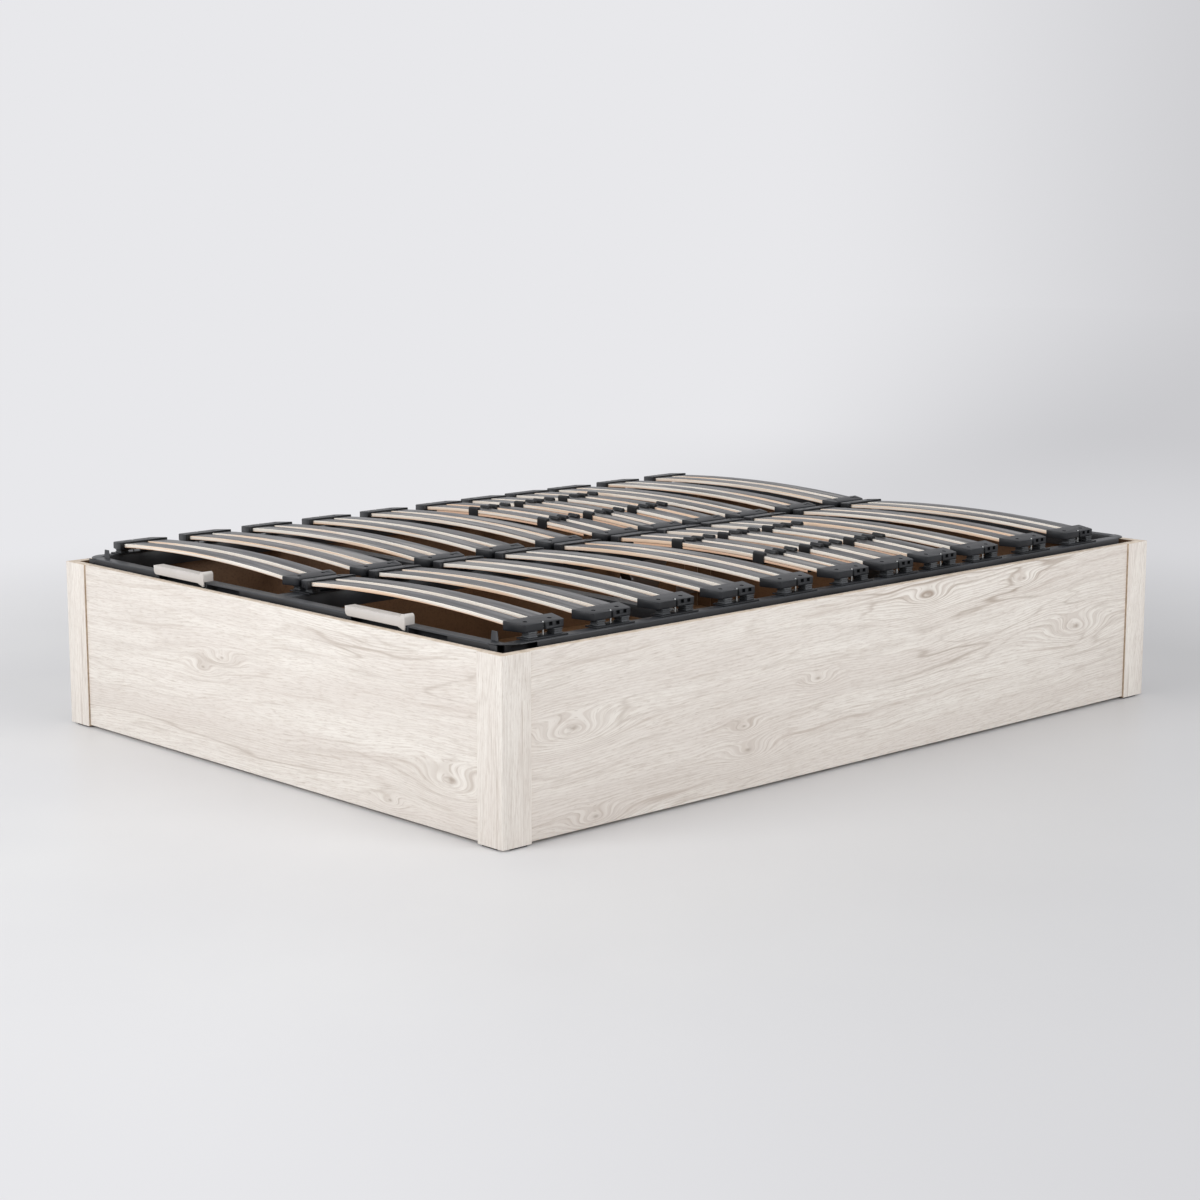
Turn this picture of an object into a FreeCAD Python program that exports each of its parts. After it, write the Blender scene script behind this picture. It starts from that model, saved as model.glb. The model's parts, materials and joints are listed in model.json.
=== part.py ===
import FreeCAD, Part
import os
import Sketcher

# Storage bed base: a panelled box with a slatted platform that lifts from the foot end.
# Millimetres. X runs across the bed, Y from foot to head, Z up; the origin is on the floor
# under the middle of the box.

SIZES = {
    # Box
    "box_width": 1400,
    "box_length": 1900,
    "box_height": 350,
    "post_leg": 68,
    "post_wall": 20,
    "panel_wall": 16,
    "panel_rise": 3,
    "glide_rise": 3,
    "glide_length": 40,
    "glide_width": 14,
    # Floor of the storage space
    "batten_depth": 16,
    "batten_rise": 16,
    "mid_batten_width": 60,
    "floor_wall": 4,
    "floor_gap": 1,
    # Steel angles in the corners of the box
    "bracket_leg": 80,
    "bracket_wall": 2.5,
    "bracket_rise": 45,
    "bracket_low": 60,
    "bracket_high": 150,
    # Buffers under the closed platform
    "buffer_length": 40,
    "buffer_depth": 25,
    "buffer_rise": 26,
    "buffer_gap": 0.3,
    "side_buffer_inset": 130,
    "foot_buffer_share": 0.735,
    # Platform frame
    "frame_gap": 8,
    "rail_rise": 36,
    "rail_depth": 25,
    "rail_wall": 2,
    "rail_stand": 10,
    "rail_ease": 3,
    "tab_width": 20,
    "tab_rise": 17,
    "tab_taper": 3,
    "corner_bend": 40,
    "tongue_reach": 22,
    "side_notch": 40,
    "beam_width": 40,
    "beam_wall": 2,
    "cross_width": 30,
    "cross_rise": 24,
    "cross_wall": 2,
    "cross_foot_share": 0.4516,
    "cross_head_share": 0.2366,
    # Hinge and gas struts
    "hinge_inset": 70,
    "hinge_drop": 14,
    "pin_round": 10,
    "pin_reach": 20,
    "boss_round": 20,
    "boss_wall": 3,
    "running_gap": 0.05,
    "plate_wall": 3,
    "plate_ear": 30,
    "plate_top_gap": 2,
    "plate_heel": 100,
    "plate_shoulder": 40,
    "lever_share": 0.982,
    "strut_angle": 52,
    "strut_inset": 46,
    "stud_round": 10,
    "stud_tail": 6,
    "spacer_round": 18,
    "spacer_gap": 0.5,
    "eye_wall": 12,
    "blade_width": 20,
    "blade_ease": 5,
    "tube_start": 16,
    "tube_round": 22,
    "tube_cap": 8,
    "tube_top_gap": 28,
    "rod_round": 10,
    "rod_gap": 0.1,
    "rod_lift": 6,
    # Handles on the foot rail
    "handle_share": 0.2785,
    "handle_out_share": 0.5016,
    "handle_rise": 18,
    "handle_lift": 6,
    "handle_depth": 24,
    "handle_wall": 2.5,
    "handle_gap": 1.5,
    "handle_sweep": 9,
    "handle_tail": 10,
    "handle_tail_drop": 5,
    "knuckle_round": 12,
    "handle_lap": 13,
    "finger_strip": 5,
    "window_share": 0.174,
    "window_rise": 22,
    "window_gap": 6,
    # Slats
    "slat_width_share": 0.2754,
    "slat_wall": 8,
    "slat_gap_share": 0.145,
    "slat_rise": 14,
    "slat_margin": 35,
    "slat_middle_gap": 12,
    "first_pair_share": 0.06344,
    "pair_pitch_share": 0.08871,
    "lumbar_pitch_share": 0.07419,
    "slat_clear": 0.3,
    # Holders
    "cap_share": 0.855,
    "cap_tip_share": 0.7246,
    "cap_cover": 3,
    "cap_grip": 33,
    "cap_end": 13,
    "cap_ease": 5,
    "middle_cap_gap": 5,
    "middle_cap_grip": 29,
    "slit_width": 4,
    "slit_depth": 9,
    "base_share": 0.6957,
    "base_width": 32,
    "base_inset": 12,
    "base_wall": 3,
    "middle_base_width": 64,
    "block_share": 0.145,
    "block_width": 22,
    "block_rise": 10,
    "block_spread_share": 0.4348,
    "block_inset": 18,
    "middle_block_out": 20,
    # Doubled slats and their firmness clips
    "under_wall": 5,
    "under_gap": 0.3,
    "under_share": 0.79,
    "clip_length": 30,
    "clip_wall": 3,
    "clip_clear": 0.7,
    "clip_lip": 9,
    "clip_share": 0.185,
    "lobe_rise": 6,
    "lobe_ease": 3,
    "overrun": 5,
}

PLACES = {
    "in_x": "size.box_width / 2 - size.post_wall",
    "in_y": "size.box_length / 2 - size.post_wall",
    "panel_low": "size.glide_rise + size.panel_rise",
    "panel_tall": "size.box_height - panel_low",
    "side_half": "size.box_length / 2 - size.post_leg",
    "end_half": "size.box_width / 2 - size.post_leg",
    "floor_low": "panel_low + size.batten_rise",
    "rail_x": "in_x - size.frame_gap",
    "rail_y": "in_y - size.frame_gap",
    "rail_top": "size.box_height + size.rail_stand",
    "rail_low": "rail_top - size.rail_rise",
    "bend_x": "rail_x - size.corner_bend",
    "bend_y": "rail_y - size.corner_bend",
    "tongue_x": "bend_x + size.tongue_reach",
    "inner_x": "rail_x - size.rail_depth + size.rail_wall",
    "inner_y": "rail_y - size.rail_depth + size.rail_wall",
    "beam_half": "rail_y - size.rail_depth",
    "hinge_y": "in_y - size.hinge_inset",
    "hinge_z": "size.box_height - size.hinge_drop",
    "strut_x": "in_x - size.strut_inset",
    "strut_lever": "hinge_z * size.lever_share",
    "strut_top_y": "hinge_y - strut_lever",
    "strut_low_y": "hinge_y - strut_lever * cos(size.strut_angle * 1 deg)",
    "strut_low_z": "hinge_z - strut_lever * sin(size.strut_angle * 1 deg)",
    "strut_span": "2 * strut_lever * sin(size.strut_angle / 2 * 1 deg)",
    "tube_top": "strut_span - size.tube_top_gap",
    "tube_floor": "size.tube_start + size.tube_cap",
    "rod_drop": "strut_span - tube_floor - size.rod_lift",
    "handle_low": "size.box_height + size.handle_lift",
    "handle_front": "rail_y + size.handle_gap + size.handle_wall",
    "handle_length": "bend_x * size.handle_share",
    "handle_out": "bend_x * size.handle_out_share",
    "window_length": "bend_x * size.window_share",
    "finger_half": "handle_length / 2 - size.handle_lap",
    "slat_out": "in_x - size.slat_margin",
    "row_x": "(slat_out + size.slat_middle_gap) / 2",
    "slat_span": "slat_out - size.slat_middle_gap",
    "slat_radius": "slat_span * slat_span / (8 * size.slat_rise) + size.slat_rise / 2",
    "pair_pitch": "2 * in_y * size.pair_pitch_share",
    "lumbar_pitch": "2 * in_y * size.lumbar_pitch_share",
    "slat_width": "lumbar_pitch * size.slat_width_share",
    "slat_pitch": "slat_width + lumbar_pitch * size.slat_gap_share",
    "cap_length": "lumbar_pitch * size.cap_share",
    "cap_tip_length": "lumbar_pitch * size.cap_tip_share",
    "base_length": "lumbar_pitch * size.base_share",
    "block_length": "lumbar_pitch * size.block_share",
    "block_spread": "lumbar_pitch * size.block_spread_share",
    "base_top": "rail_top + size.base_wall",
    "cap_low": "base_top + size.block_rise",
    "slat_end_z": "cap_low + size.cap_cover + size.slat_clear + size.slat_wall / 2",
    "arc_z": "slat_end_z + size.slat_rise - slat_radius",
    "cap_in": "slat_out - size.cap_grip",
    "cap_tip": "slat_out + size.cap_end",
    "middle_cap_out": "size.slat_middle_gap + size.middle_cap_grip",
    "cap_top_radius": "slat_radius + size.slat_wall / 2 + size.slat_clear + size.cap_cover",
    "slot_radius": "slat_radius + size.slat_wall / 2 + size.slat_clear",
    "slot_core": "slat_radius - size.slat_wall / 2 - size.slat_clear",
    "under_top": "slat_radius - size.slat_wall / 2 - size.under_gap",
    "clip_top": "slat_radius + size.slat_wall / 2 + size.clip_clear",
    "clip_floor": "under_top - size.under_wall - size.clip_clear",
    "clip_half": "slat_width / 2 + size.clip_clear",
    "clip_out": "slat_span * size.clip_share",
    "under_length": "slat_span * size.under_share",
}

STEPS = ("pair", "pair", "pair", "pair", "pair", "lumbar", "lumbar", "lumbar", "pair", "pair")
PAIRS = tuple(f"pair_{number}" for number in range(1, len(STEPS) + 2))
DOUBLED_PAIRS = ("pair_6", "pair_7", "pair_8")
QUARTER_TURN = 90
HALF_TURN = 180
CORNERS = {"foot_left": 0, "foot_right": 90, "head_right": 180, "head_left": 270}
SIDES = {"right": "", "left": "-"}
SAME_PLACE = 1e-6

X_AXIS = FreeCAD.Vector(1, 0, 0)
Y_AXIS = FreeCAD.Vector(0, 1, 0)
Z_AXIS = FreeCAD.Vector(0, 0, 1)
ORIGIN = FreeCAD.Vector(0, 0, 0)

doc = FreeCAD.newDocument("storage_bed_base")
parts = []


def make_sheet(name, cells):
    sheet = doc.addObject("Spreadsheet::Sheet", name)
    for row, (alias, content) in enumerate(cells.items(), 1):
        sheet.set(f"A{row}", alias)
        sheet.set(f"B{row}", content)
        sheet.setAlias(f"B{row}", alias)
    doc.recompute()
    return sheet


def pair_places():
    """Places of the holder pairs along the bed, closer together in the lumbar zone."""
    cells = {PAIRS[0]: "=(2 * size.first_pair_share - 1) * in_y"}
    for step, before, pair in zip(STEPS, PAIRS, PAIRS[1:]):
        cells[pair] = f"={before} + {step}_pitch"
    return cells


def tie(item, **sizes):
    for name, expression in sizes.items():
        item.setExpression(name, expression)
    return item


def put(item, x="0", y="0", z="0", axis=None, turn=None):
    """Places an item by expressions, turned by a fixed angle or by an expression about an axis."""
    if axis is not None:
        angle = turn if isinstance(turn, (int, float)) else 1
        item.Placement = FreeCAD.Placement(ORIGIN, FreeCAD.Rotation(axis, angle))
        if isinstance(turn, str):
            item.setExpression("Placement.Rotation.Angle", turn)
    for letter, expression in zip("xyz", (x, y, z)):
        item.setExpression(f"Placement.Base.{letter}", expression)
    return item


def keep(item, label):
    """Names a finished sub-part."""
    item.Label = label
    parts.append(item)
    return item


def block(name, length, width, height, x="0", y="0", z="0"):
    box = doc.addObject("Part::Box", name)
    tie(box, Length=length, Width=width, Height=height)
    return put(box, x, y, z)


def centred(name, length, width, height, x="0", y="0", z="0"):
    """A block that is centred across X and Y."""
    return block(name, length, width, height, f"{x} - ({length}) / 2", f"{y} - ({width}) / 2", z)


def drum(name, radius, height, x="0", y="0", z="0", axis=None, turn=None, sweep="360"):
    cylinder = doc.addObject("Part::Cylinder", name)
    tie(cylinder, Radius=radius, Height=height, Angle=sweep)
    return put(cylinder, x, y, z, axis, turn)


def cut(name, base, tool):
    result = doc.addObject("Part::Cut", name)
    result.Base = base
    result.Tool = tool
    return result


def common(name, base, tool):
    result = doc.addObject("Part::Common", name)
    result.Base = base
    result.Tool = tool
    return result


def group(name, *items):
    result = doc.addObject("Part::Compound", name)
    result.Links = list(items)
    return result


def copy(name, master, x="0", y="0", z="0", axis=None, turn=None):
    link = doc.addObject("App::Link", name)
    link.LinkedObject = master
    link.LinkTransform = True
    return put(link, x, y, z, axis, turn)


def new_body(name):
    return doc.addObject("PartDesign::Body", name)


def new_sketch(body, name, plane):
    sketch = body.newObject("Sketcher::SketchObject", name)
    support = next(f for f in body.Origin.OriginFeatures if f.Role == f"{plane}_Plane")
    sketch.AttachmentSupport = (support, "")
    sketch.MapMode = "FlatFace"
    return sketch


def fix_point(sketch, geometry, point, place):
    """Ties a point of a sketch to the sheet, measured from the sketch's origin."""
    for kind, expression in zip(("DistanceX", "DistanceY"), place):
        start = float(sketch.evalExpression(expression))
        number = sketch.addConstraint(Sketcher.Constraint(kind, -1, 1, geometry, point, start))
        sketch.setExpression(f"Constraints[{number}]", expression)


def add_outline(sketch, points):
    """Adds a closed outline of straight lines through points given as expressions."""
    first = sketch.GeometryCount
    spots = [FreeCAD.Vector(*(float(sketch.evalExpression(e)) for e in p), 0) for p in points]
    for here, there in zip(spots, spots[1:] + spots[:1]):
        sketch.addGeometry(Part.LineSegment(here, there), False)
    count = len(points)
    for i in range(count):
        sketch.addConstraint(Sketcher.Constraint("Coincident", first + i, 2, first + (i + 1) % count, 1))
    for i, point in enumerate(points):
        fix_point(sketch, first + i, 1, point)


def add_rectangle(sketch, left, right, low, high):
    add_outline(sketch, [(left, low), (right, low), (right, high), (left, high)])


def add_circle(sketch, across, up, round_size):
    number = sketch.GeometryCount
    radius = float(sketch.evalExpression(round_size)) / 2
    centre = FreeCAD.Vector(float(sketch.evalExpression(across)), float(sketch.evalExpression(up)), 0)
    sketch.addGeometry(Part.Circle(centre, Z_AXIS, radius), False)
    fix_point(sketch, number, 3, (across, up))
    constraint = sketch.addConstraint(Sketcher.Constraint("Diameter", number, 2 * radius))
    sketch.setExpression(f"Constraints[{constraint}]", round_size)


def add_hexagon(sketch, across, up, round_size):
    angles = [f"{HALF_TURN / 3 * corner} deg" for corner in range(6)]
    reach = f"{round_size} / 2"
    add_outline(sketch, [(f"{across} + {reach} * cos({a})", f"{up} + {reach} * sin({a})") for a in angles])


def pad(body, sketch, length, both_ways=False, back=False):
    feature = body.newObject("PartDesign::Pad", f"{sketch.Name}_pad")
    feature.Profile = sketch
    feature.Midplane = both_ways
    feature.Reversed = back
    feature.setExpression("Length", length)
    return feature


def pocket(body, sketch, length):
    """Cuts the same depth on both sides of the sketch's plane."""
    feature = body.newObject("PartDesign::Pocket", f"{sketch.Name}_pocket")
    feature.Profile = sketch
    feature.Midplane = True
    feature.setExpression("Length", length)
    return feature


def revolve(body, sketch):
    feature = body.newObject("PartDesign::Revolution", f"{sketch.Name}_turned")
    feature.Profile = sketch
    feature.ReferenceAxis = (sketch, ["V_Axis"])
    return feature


def round_edges(body, radius, wanted):
    """Fillets the edges of a body's tip whose ends the wanted function accepts."""
    doc.recompute()
    base = body.Tip
    names = []
    for number, edge in enumerate(base.Shape.Edges, 1):
        ends = [vertex.Point for vertex in edge.Vertexes]
        if len(ends) == 2 and wanted(*ends):
            names.append(f"Edge{number}")
    feature = body.newObject("PartDesign::Fillet", f"{body.Name}_rounded_{len(body.Group)}")
    feature.Base = (base, names)
    feature.setExpression("Radius", radius)
    return feature


def same(*values):
    return max(values) - min(values) < SAME_PLACE


def along_x(a, b):
    return abs(a.y - b.y) + abs(a.z - b.z) < abs(a.x - b.x) / 2


def make_panels():
    side = ("size.panel_wall", "2 * place.side_half", "place.panel_tall")
    end = ("2 * place.end_half", "size.panel_wall", "place.panel_tall")
    low = "place.panel_low"
    keep(block("right_panel", *side, "place.in_x", "-place.side_half", low), "right_side_panel")
    left = "-place.in_x - size.panel_wall"
    keep(block("left_panel", *side, left, "-place.side_half", low), "left_side_panel")
    foot = "-place.in_y - size.panel_wall"
    keep(block("foot_end", *end, "-place.end_half", foot, low), "foot_panel")
    keep(block("head_end", *end, "-place.end_half", "place.in_y", low), "head_panel")


def angle_body(name, leg, wall, tall):
    """An upright angle with its outer corner on the origin."""
    body = new_body(name)
    sketch = new_sketch(body, f"{name}_plan", "XY")
    points = [("0", "0"), (leg, "0"), (leg, wall), (wall, wall), (wall, leg), ("0", leg)]
    add_outline(sketch, points)
    pad(body, sketch, tall)
    return body


def corner_place(turn, x, y):
    """The place of a corner of a rectangle, by the turn that brings the foot left corner there."""
    across = "" if turn in (QUARTER_TURN, HALF_TURN) else "-"
    along = "" if turn >= HALF_TURN else "-"
    return f"{across}{x}", f"{along}{y}"


def make_posts():
    for corner, turn in CORNERS.items():
        body = angle_body(f"{corner}_angle", "size.post_leg", "size.post_wall",
                          "size.box_height - size.glide_rise")
        x, y = corner_place(turn, "size.box_width / 2", "size.box_length / 2")
        put(body, x, y, "size.glide_rise", Z_AXIS, turn)
        keep(body, f"{corner}_post")


def make_glides():
    glide = centred("glide", "size.glide_length", "size.glide_width", "size.glide_rise")
    near, far = "size.post_wall / 2", "size.post_wall + size.glide_length / 2"
    glides = []
    for corner in CORNERS:
        across = "-" if "left" in corner else ""
        along = "-" if "foot" in corner else ""
        for x, y, turn in ((near, far, QUARTER_TURN), (far, near, 0)):
            place = (f"{across}(size.box_width / 2 - ({x}))", f"{along}(size.box_length / 2 - ({y}))")
            glides.append(copy(f"{corner}_glide_{len(glides)}", glide, *place, "0", Z_AXIS, turn))
    keep(group("glide_group", *glides), "floor_glides")


def make_floor():
    rise = "size.batten_rise"
    low = "place.panel_low"
    inside = "2 * (place.in_x - size.batten_depth)"
    side = ("size.batten_depth", "2 * place.in_y", rise)
    end = (inside, "size.batten_depth", rise)
    start = "size.batten_depth - place.in_x"
    battens = [
        block("right_batten", *side, "place.in_x - size.batten_depth", "-place.in_y", low),
        block("left_batten", *side, "-place.in_x", "-place.in_y", low),
        block("foot_batten", *end, start, "-place.in_y", low),
        block("head_batten", *end, start, "place.in_y - size.batten_depth", low),
        centred("mid_batten", inside, "size.mid_batten_width", rise, "0", "0", low),
    ]
    keep(group("batten_group", *battens), "floor_battens")
    board = ("2 * (place.in_x - size.floor_gap)", "place.in_y - 2 * size.floor_gap", "size.floor_wall")
    across = "size.floor_gap - place.in_x"
    foot = "size.floor_gap - place.in_y"
    keep(block("foot_board", *board, across, foot, "place.floor_low"), "foot_floor_board")
    keep(block("head_board", *board, across, "size.floor_gap", "place.floor_low"), "head_floor_board")


def make_corner_brackets():
    angle = angle_body("bracket_angle", "size.bracket_leg", "size.bracket_wall", "size.bracket_rise")
    brackets = []
    for corner, turn in CORNERS.items():
        x, y = corner_place(turn, "place.in_x", "place.in_y")
        for level in ("low", "high"):
            bracket = copy(f"{corner}_{level}_bracket", angle, x, y, f"size.bracket_{level}", Z_AXIS, turn)
            brackets.append(bracket)
    keep(group("bracket_group", *brackets), "corner_brackets")


def make_buffers():
    low = "place.rail_low - size.buffer_gap - size.buffer_rise"
    side = ("size.buffer_depth", "size.buffer_length", "size.buffer_rise")
    end = ("size.buffer_length", "size.buffer_depth", "size.buffer_rise")
    along = "size.side_buffer_inset - place.in_y"
    out = "place.in_x * size.foot_buffer_share - size.buffer_length / 2"
    buffers = [
        block("right_buffer", *side, "place.in_x - size.buffer_depth", along, low),
        block("left_buffer", *side, "-place.in_x", along, low),
        block("foot_right_buffer", *end, out, "-place.in_y", low),
        block("foot_left_buffer", *end, f"-({out}) - size.buffer_length", "-place.in_y", low),
    ]
    keep(group("buffer_group", *buffers), "rest_buffers")


def make_lift_plate(side):
    """A steel plate on the side panel, with the hinge pin and the strut's lower stud."""
    body = new_body(f"{side}_plate")
    inward = side == "right"
    top = "size.box_height - size.plate_top_gap"
    heel_z = "place.strut_low_z - size.plate_ear"
    toe = "place.strut_low_y - size.plate_ear"
    sketch = new_sketch(body, f"{side}_plate_outline", "YZ")
    add_outline(sketch, [
        (toe, heel_z),
        ("place.strut_low_y + size.plate_heel", heel_z),
        ("place.hinge_y + size.plate_ear", "place.hinge_z - size.plate_shoulder"),
        ("place.hinge_y + size.plate_ear", top),
        ("place.hinge_y - size.plate_ear", top),
        (toe, "place.strut_low_z + size.plate_ear"),
    ])
    pad(body, sketch, "size.plate_wall", back=inward)
    studs = {
        "pin": ("place.hinge_y", "place.hinge_z", "size.pin_round", "size.frame_gap + size.pin_reach"),
        "spacer": ("place.strut_low_y", "place.strut_low_z", "size.spacer_round",
                   "size.strut_inset - size.eye_wall / 2 - size.spacer_gap"),
        "stud": ("place.strut_low_y", "place.strut_low_z", "size.stud_round",
                 "size.strut_inset + size.eye_wall / 2 + size.stud_tail"),
    }
    for name, (y, z, round_size, reach) in studs.items():
        section = new_sketch(body, f"{side}_plate_{name}", "YZ")
        add_section = add_hexagon if name == "spacer" else add_circle
        add_section(section, y, z, round_size)
        pad(body, section, reach, back=inward)
    put(body, "place.in_x" if side == "right" else "-place.in_x")
    keep(body, f"{side}_lift_plate")


def rail_body(name, half):
    """A flat tube running along X, its outer face on the XZ plane."""
    body = new_body(name)
    sketch = new_sketch(body, f"{name}_section", "YZ")
    deep, rise, wall = "size.rail_depth", "size.rail_rise", "size.rail_wall"
    add_rectangle(sketch, "0", deep, "0", rise)
    add_rectangle(sketch, wall, f"{deep} - {wall}", wall, f"{rise} - {wall}")
    pad(body, sketch, f"2 * ({half})", both_ways=True)
    round_edges(body, "size.rail_ease", lambda a, b: along_x(a, b) and same(a.y, 0))
    return body


def make_end_rails():
    head = rail_body("head_profile", "place.bend_x")
    keep(put(head, "0", "place.rail_y", "place.rail_low", Z_AXIS, HALF_TURN), "head_rail")
    foot = rail_body("foot_profile", "place.bend_x")
    opening = new_sketch(foot, "finger_notches", "XZ")
    windows = new_sketch(foot, "web_windows", "XZ")
    ledge = new_sketch(foot, "flange_notches", "XY")
    for centre in ("place.handle_out", "-place.handle_out"):
        left, right = f"{centre} - place.finger_half", f"{centre} + place.finger_half"
        add_rectangle(opening, left, right, "size.rail_wall", "size.rail_rise + size.overrun")
        add_rectangle(ledge, left, right, "-size.overrun", "size.rail_depth - size.finger_strip")
        start = f"{centre} + place.handle_length / 2 + size.window_gap"
        high = "size.rail_rise - size.rail_ease"
        add_rectangle(windows, start, f"{start} + place.window_length", f"{high} - size.window_rise", high)
    pocket(foot, opening, "2 * size.rail_ease")
    pocket(foot, windows, "2 * size.rail_wall")
    ledge.setExpression("AttachmentOffset.Base.z", "size.rail_rise")
    pocket(foot, ledge, "2 * size.rail_ease")
    tabs = new_sketch(foot, "end_tabs", "XZ")
    tabs.setExpression("AttachmentOffset.Base.z", "-size.rail_depth")
    inner = "place.bend_x - size.tab_width"
    low, high = "size.rail_rise - size.rail_wall", "size.rail_rise + size.tab_rise"
    tab = [(inner, low), ("place.bend_x", low), ("place.bend_x - size.tab_taper", high),
           (f"{inner} + size.tab_taper", high)]
    add_outline(tabs, tab)
    add_outline(tabs, [(f"-({x})", z) for x, z in tab[::-1]])
    pad(foot, tabs, "size.rail_wall")
    tongues = new_sketch(foot, "web_tongues", "XZ")
    for start, end in (("place.bend_x", "place.tongue_x"), ("-place.tongue_x", "-place.bend_x")):
        add_rectangle(tongues, start, end, "size.rail_wall", "size.rail_rise - size.rail_wall")
    pad(foot, tongues, "size.rail_wall", back=True)
    keep(put(foot, "0", "-place.rail_y", "place.rail_low"), "foot_rail")


def make_side_rail(side):
    """A side rail with its notched foot end, hinge hole, hinge boss and upper strut stud."""
    sign = "" if side == "right" else "-"
    body = rail_body(f"{side}_profile", "place.bend_y")
    up = "place.hinge_z - place.rail_low"
    hinge = f"{sign}place.hinge_y"
    strut = f"{sign}place.strut_top_y"
    reach = "place.rail_x - place.strut_x"
    studs = {
        "boss": (hinge, "size.boss_round", "size.rail_wall + size.boss_wall"),
        "spacer": (strut, "size.spacer_round", f"{reach} - size.eye_wall / 2 - size.spacer_gap"),
        "stud": (strut, "size.stud_round", f"{reach} + size.eye_wall / 2 + size.stud_tail"),
    }
    for name, (along, round_size, length) in studs.items():
        section = new_sketch(body, f"{side}_rail_{name}", "XZ")
        add_section = add_circle if name == "stud" else add_hexagon
        add_section(section, along, up, round_size)
        pad(body, section, length, back=True)
    hole = new_sketch(body, f"{side}_hinge_hole", "XZ")
    add_circle(hole, hinge, up, "size.pin_round + 2 * size.running_gap")
    pocket(body, hole, "2 * (size.rail_wall + size.boss_wall)")
    notch = new_sketch(body, f"{side}_foot_notch", "XZ")
    ends = ["size.side_notch - place.bend_y", "-place.bend_y - size.overrun"]
    if side == "left":
        ends = [f"-({end})" for end in ends]
    add_rectangle(notch, *ends, "size.rail_wall", "size.rail_rise - size.rail_wall")
    pocket(body, notch, "2 * size.rail_wall")
    x = "place.rail_x" if side == "right" else "-place.rail_x"
    put(body, x, "0", "place.rail_low", Z_AXIS, QUARTER_TURN if side == "right" else -QUARTER_TURN)
    keep(body, f"{side}_side_rail")


def make_frame_corners():
    """The top, bottom and inner walls of the rails carried round the corners. The outer wall is cut away."""
    wall = "size.rail_wall"
    clear = "size.corner_bend - size.rail_depth"
    outer = drum("bend_outer", "size.corner_bend", wall, sweep="90")
    bend = cut("bend", outer, block("bend_inner", clear, clear, wall))
    inner = angle_body("bend_angle", f"{clear} + {wall}", wall, f"size.rail_rise - 2 * {wall}")
    bends = []
    for corner, turn in CORNERS.items():
        x, y = corner_place(turn, "place.bend_x", "place.bend_y")
        for level, z in (("top", f"place.rail_top - {wall}"), ("bottom", "place.rail_low")):
            bends.append(copy(f"{corner}_{level}_bend", bend, x, y, z, Z_AXIS, turn + HALF_TURN))
        x, y = corner_place(turn, "place.inner_x", "place.inner_y")
        bends.append(copy(f"{corner}_inner_bend", inner, x, y, f"place.rail_low + {wall}", Z_AXIS, turn))
    keep(group("bend_group", *bends), "frame_corners")


def make_beams():
    wall = "2 * size.beam_wall"
    outside = centred("beam_outside", "size.beam_width", "2 * place.beam_half", "size.rail_rise",
                      z="place.rail_low")
    inside = centred("beam_inside", f"size.beam_width - {wall}", "2 * (place.beam_half + size.overrun)",
                     f"size.rail_rise - {wall}", z="place.rail_low + size.beam_wall")
    keep(cut("beam", outside, inside), "centre_beam")
    low = "place.rail_low + size.rail_wall"
    length = "place.rail_x - size.rail_depth - size.beam_width / 2"
    hull = block("bar_outside", length, "size.cross_width", "size.cross_rise", "0", "-size.cross_width / 2")
    bore = block("bar_inside", f"{length} + 2 * size.overrun", "size.cross_width - 2 * size.cross_wall",
                 "size.cross_rise - 2 * size.cross_wall", "-size.overrun",
                 "size.cross_wall - size.cross_width / 2", "size.cross_wall")
    bar = cut("bar", hull, bore)
    bars = []
    for y in ("-place.in_y * size.cross_foot_share", "place.in_y * size.cross_head_share"):
        bars.append(copy(f"bar_{len(bars)}", bar, "size.beam_width / 2", y, low, Z_AXIS, 0))
        bars.append(copy(f"bar_{len(bars)}", bar, "-size.beam_width / 2", y, low, Z_AXIS, HALF_TURN))
    keep(group("bar_group", *bars), "cross_bars")


def make_handle(side):
    """A grip over the notched rail: front skirt, top, rear lip, swept corner, tail, knuckle and cheek."""
    body = new_body(f"{side}_grip")
    sketch = new_sketch(body, f"{side}_grip_section", "YZ")
    wall, deep, rise = "size.handle_wall", "size.handle_depth", "size.handle_rise"
    seat = "place.rail_top - place.handle_low"
    under = f"{rise} - {wall}"
    back = f"{deep} - {wall}"
    add_outline(sketch, [("0", "0"), (wall, "0"), (wall, under), (back, under),
                         (back, seat), (deep, seat), (deep, rise), ("0", rise)])
    pad(body, sketch, "place.handle_length", both_ways=True)
    doc.recompute()
    end = body.Shape.BoundBox.XMin
    round_edges(body, "size.handle_sweep",
                lambda a, b: same(a.x, b.x, end) and same(a.z, b.z, 0))
    tail = new_sketch(body, f"{side}_grip_tail", "XZ")
    right = "place.handle_length / 2"
    add_outline(tail, [(f"{right} - 2 * size.handle_tail", "0"), (f"{right} - size.handle_tail / 2",
                       "-size.handle_tail_drop"), (right, "-size.handle_tail_drop"),
                       (right, "size.handle_wall"), (f"{right} - 2 * size.handle_tail", "size.handle_wall")])
    pad(body, tail, wall, back=True)
    knuckle = new_sketch(body, f"{side}_grip_knuckle", "XZ")
    add_circle(knuckle, f"{right} - size.knuckle_round / 2", rise, "size.knuckle_round")
    pad(body, knuckle, deep, back=True)
    cheek = new_sketch(body, f"{side}_grip_cheek", "YZ")
    cheek.setExpression("AttachmentOffset.Base.z", f"{right} - {wall}")
    add_rectangle(cheek, "0", deep, seat, rise)
    pad(body, cheek, wall)
    x = "place.handle_out" if side == "right" else "-place.handle_out"
    keep(put(body, x, "-place.handle_front", "place.handle_low"), f"{side}_handle")


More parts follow.
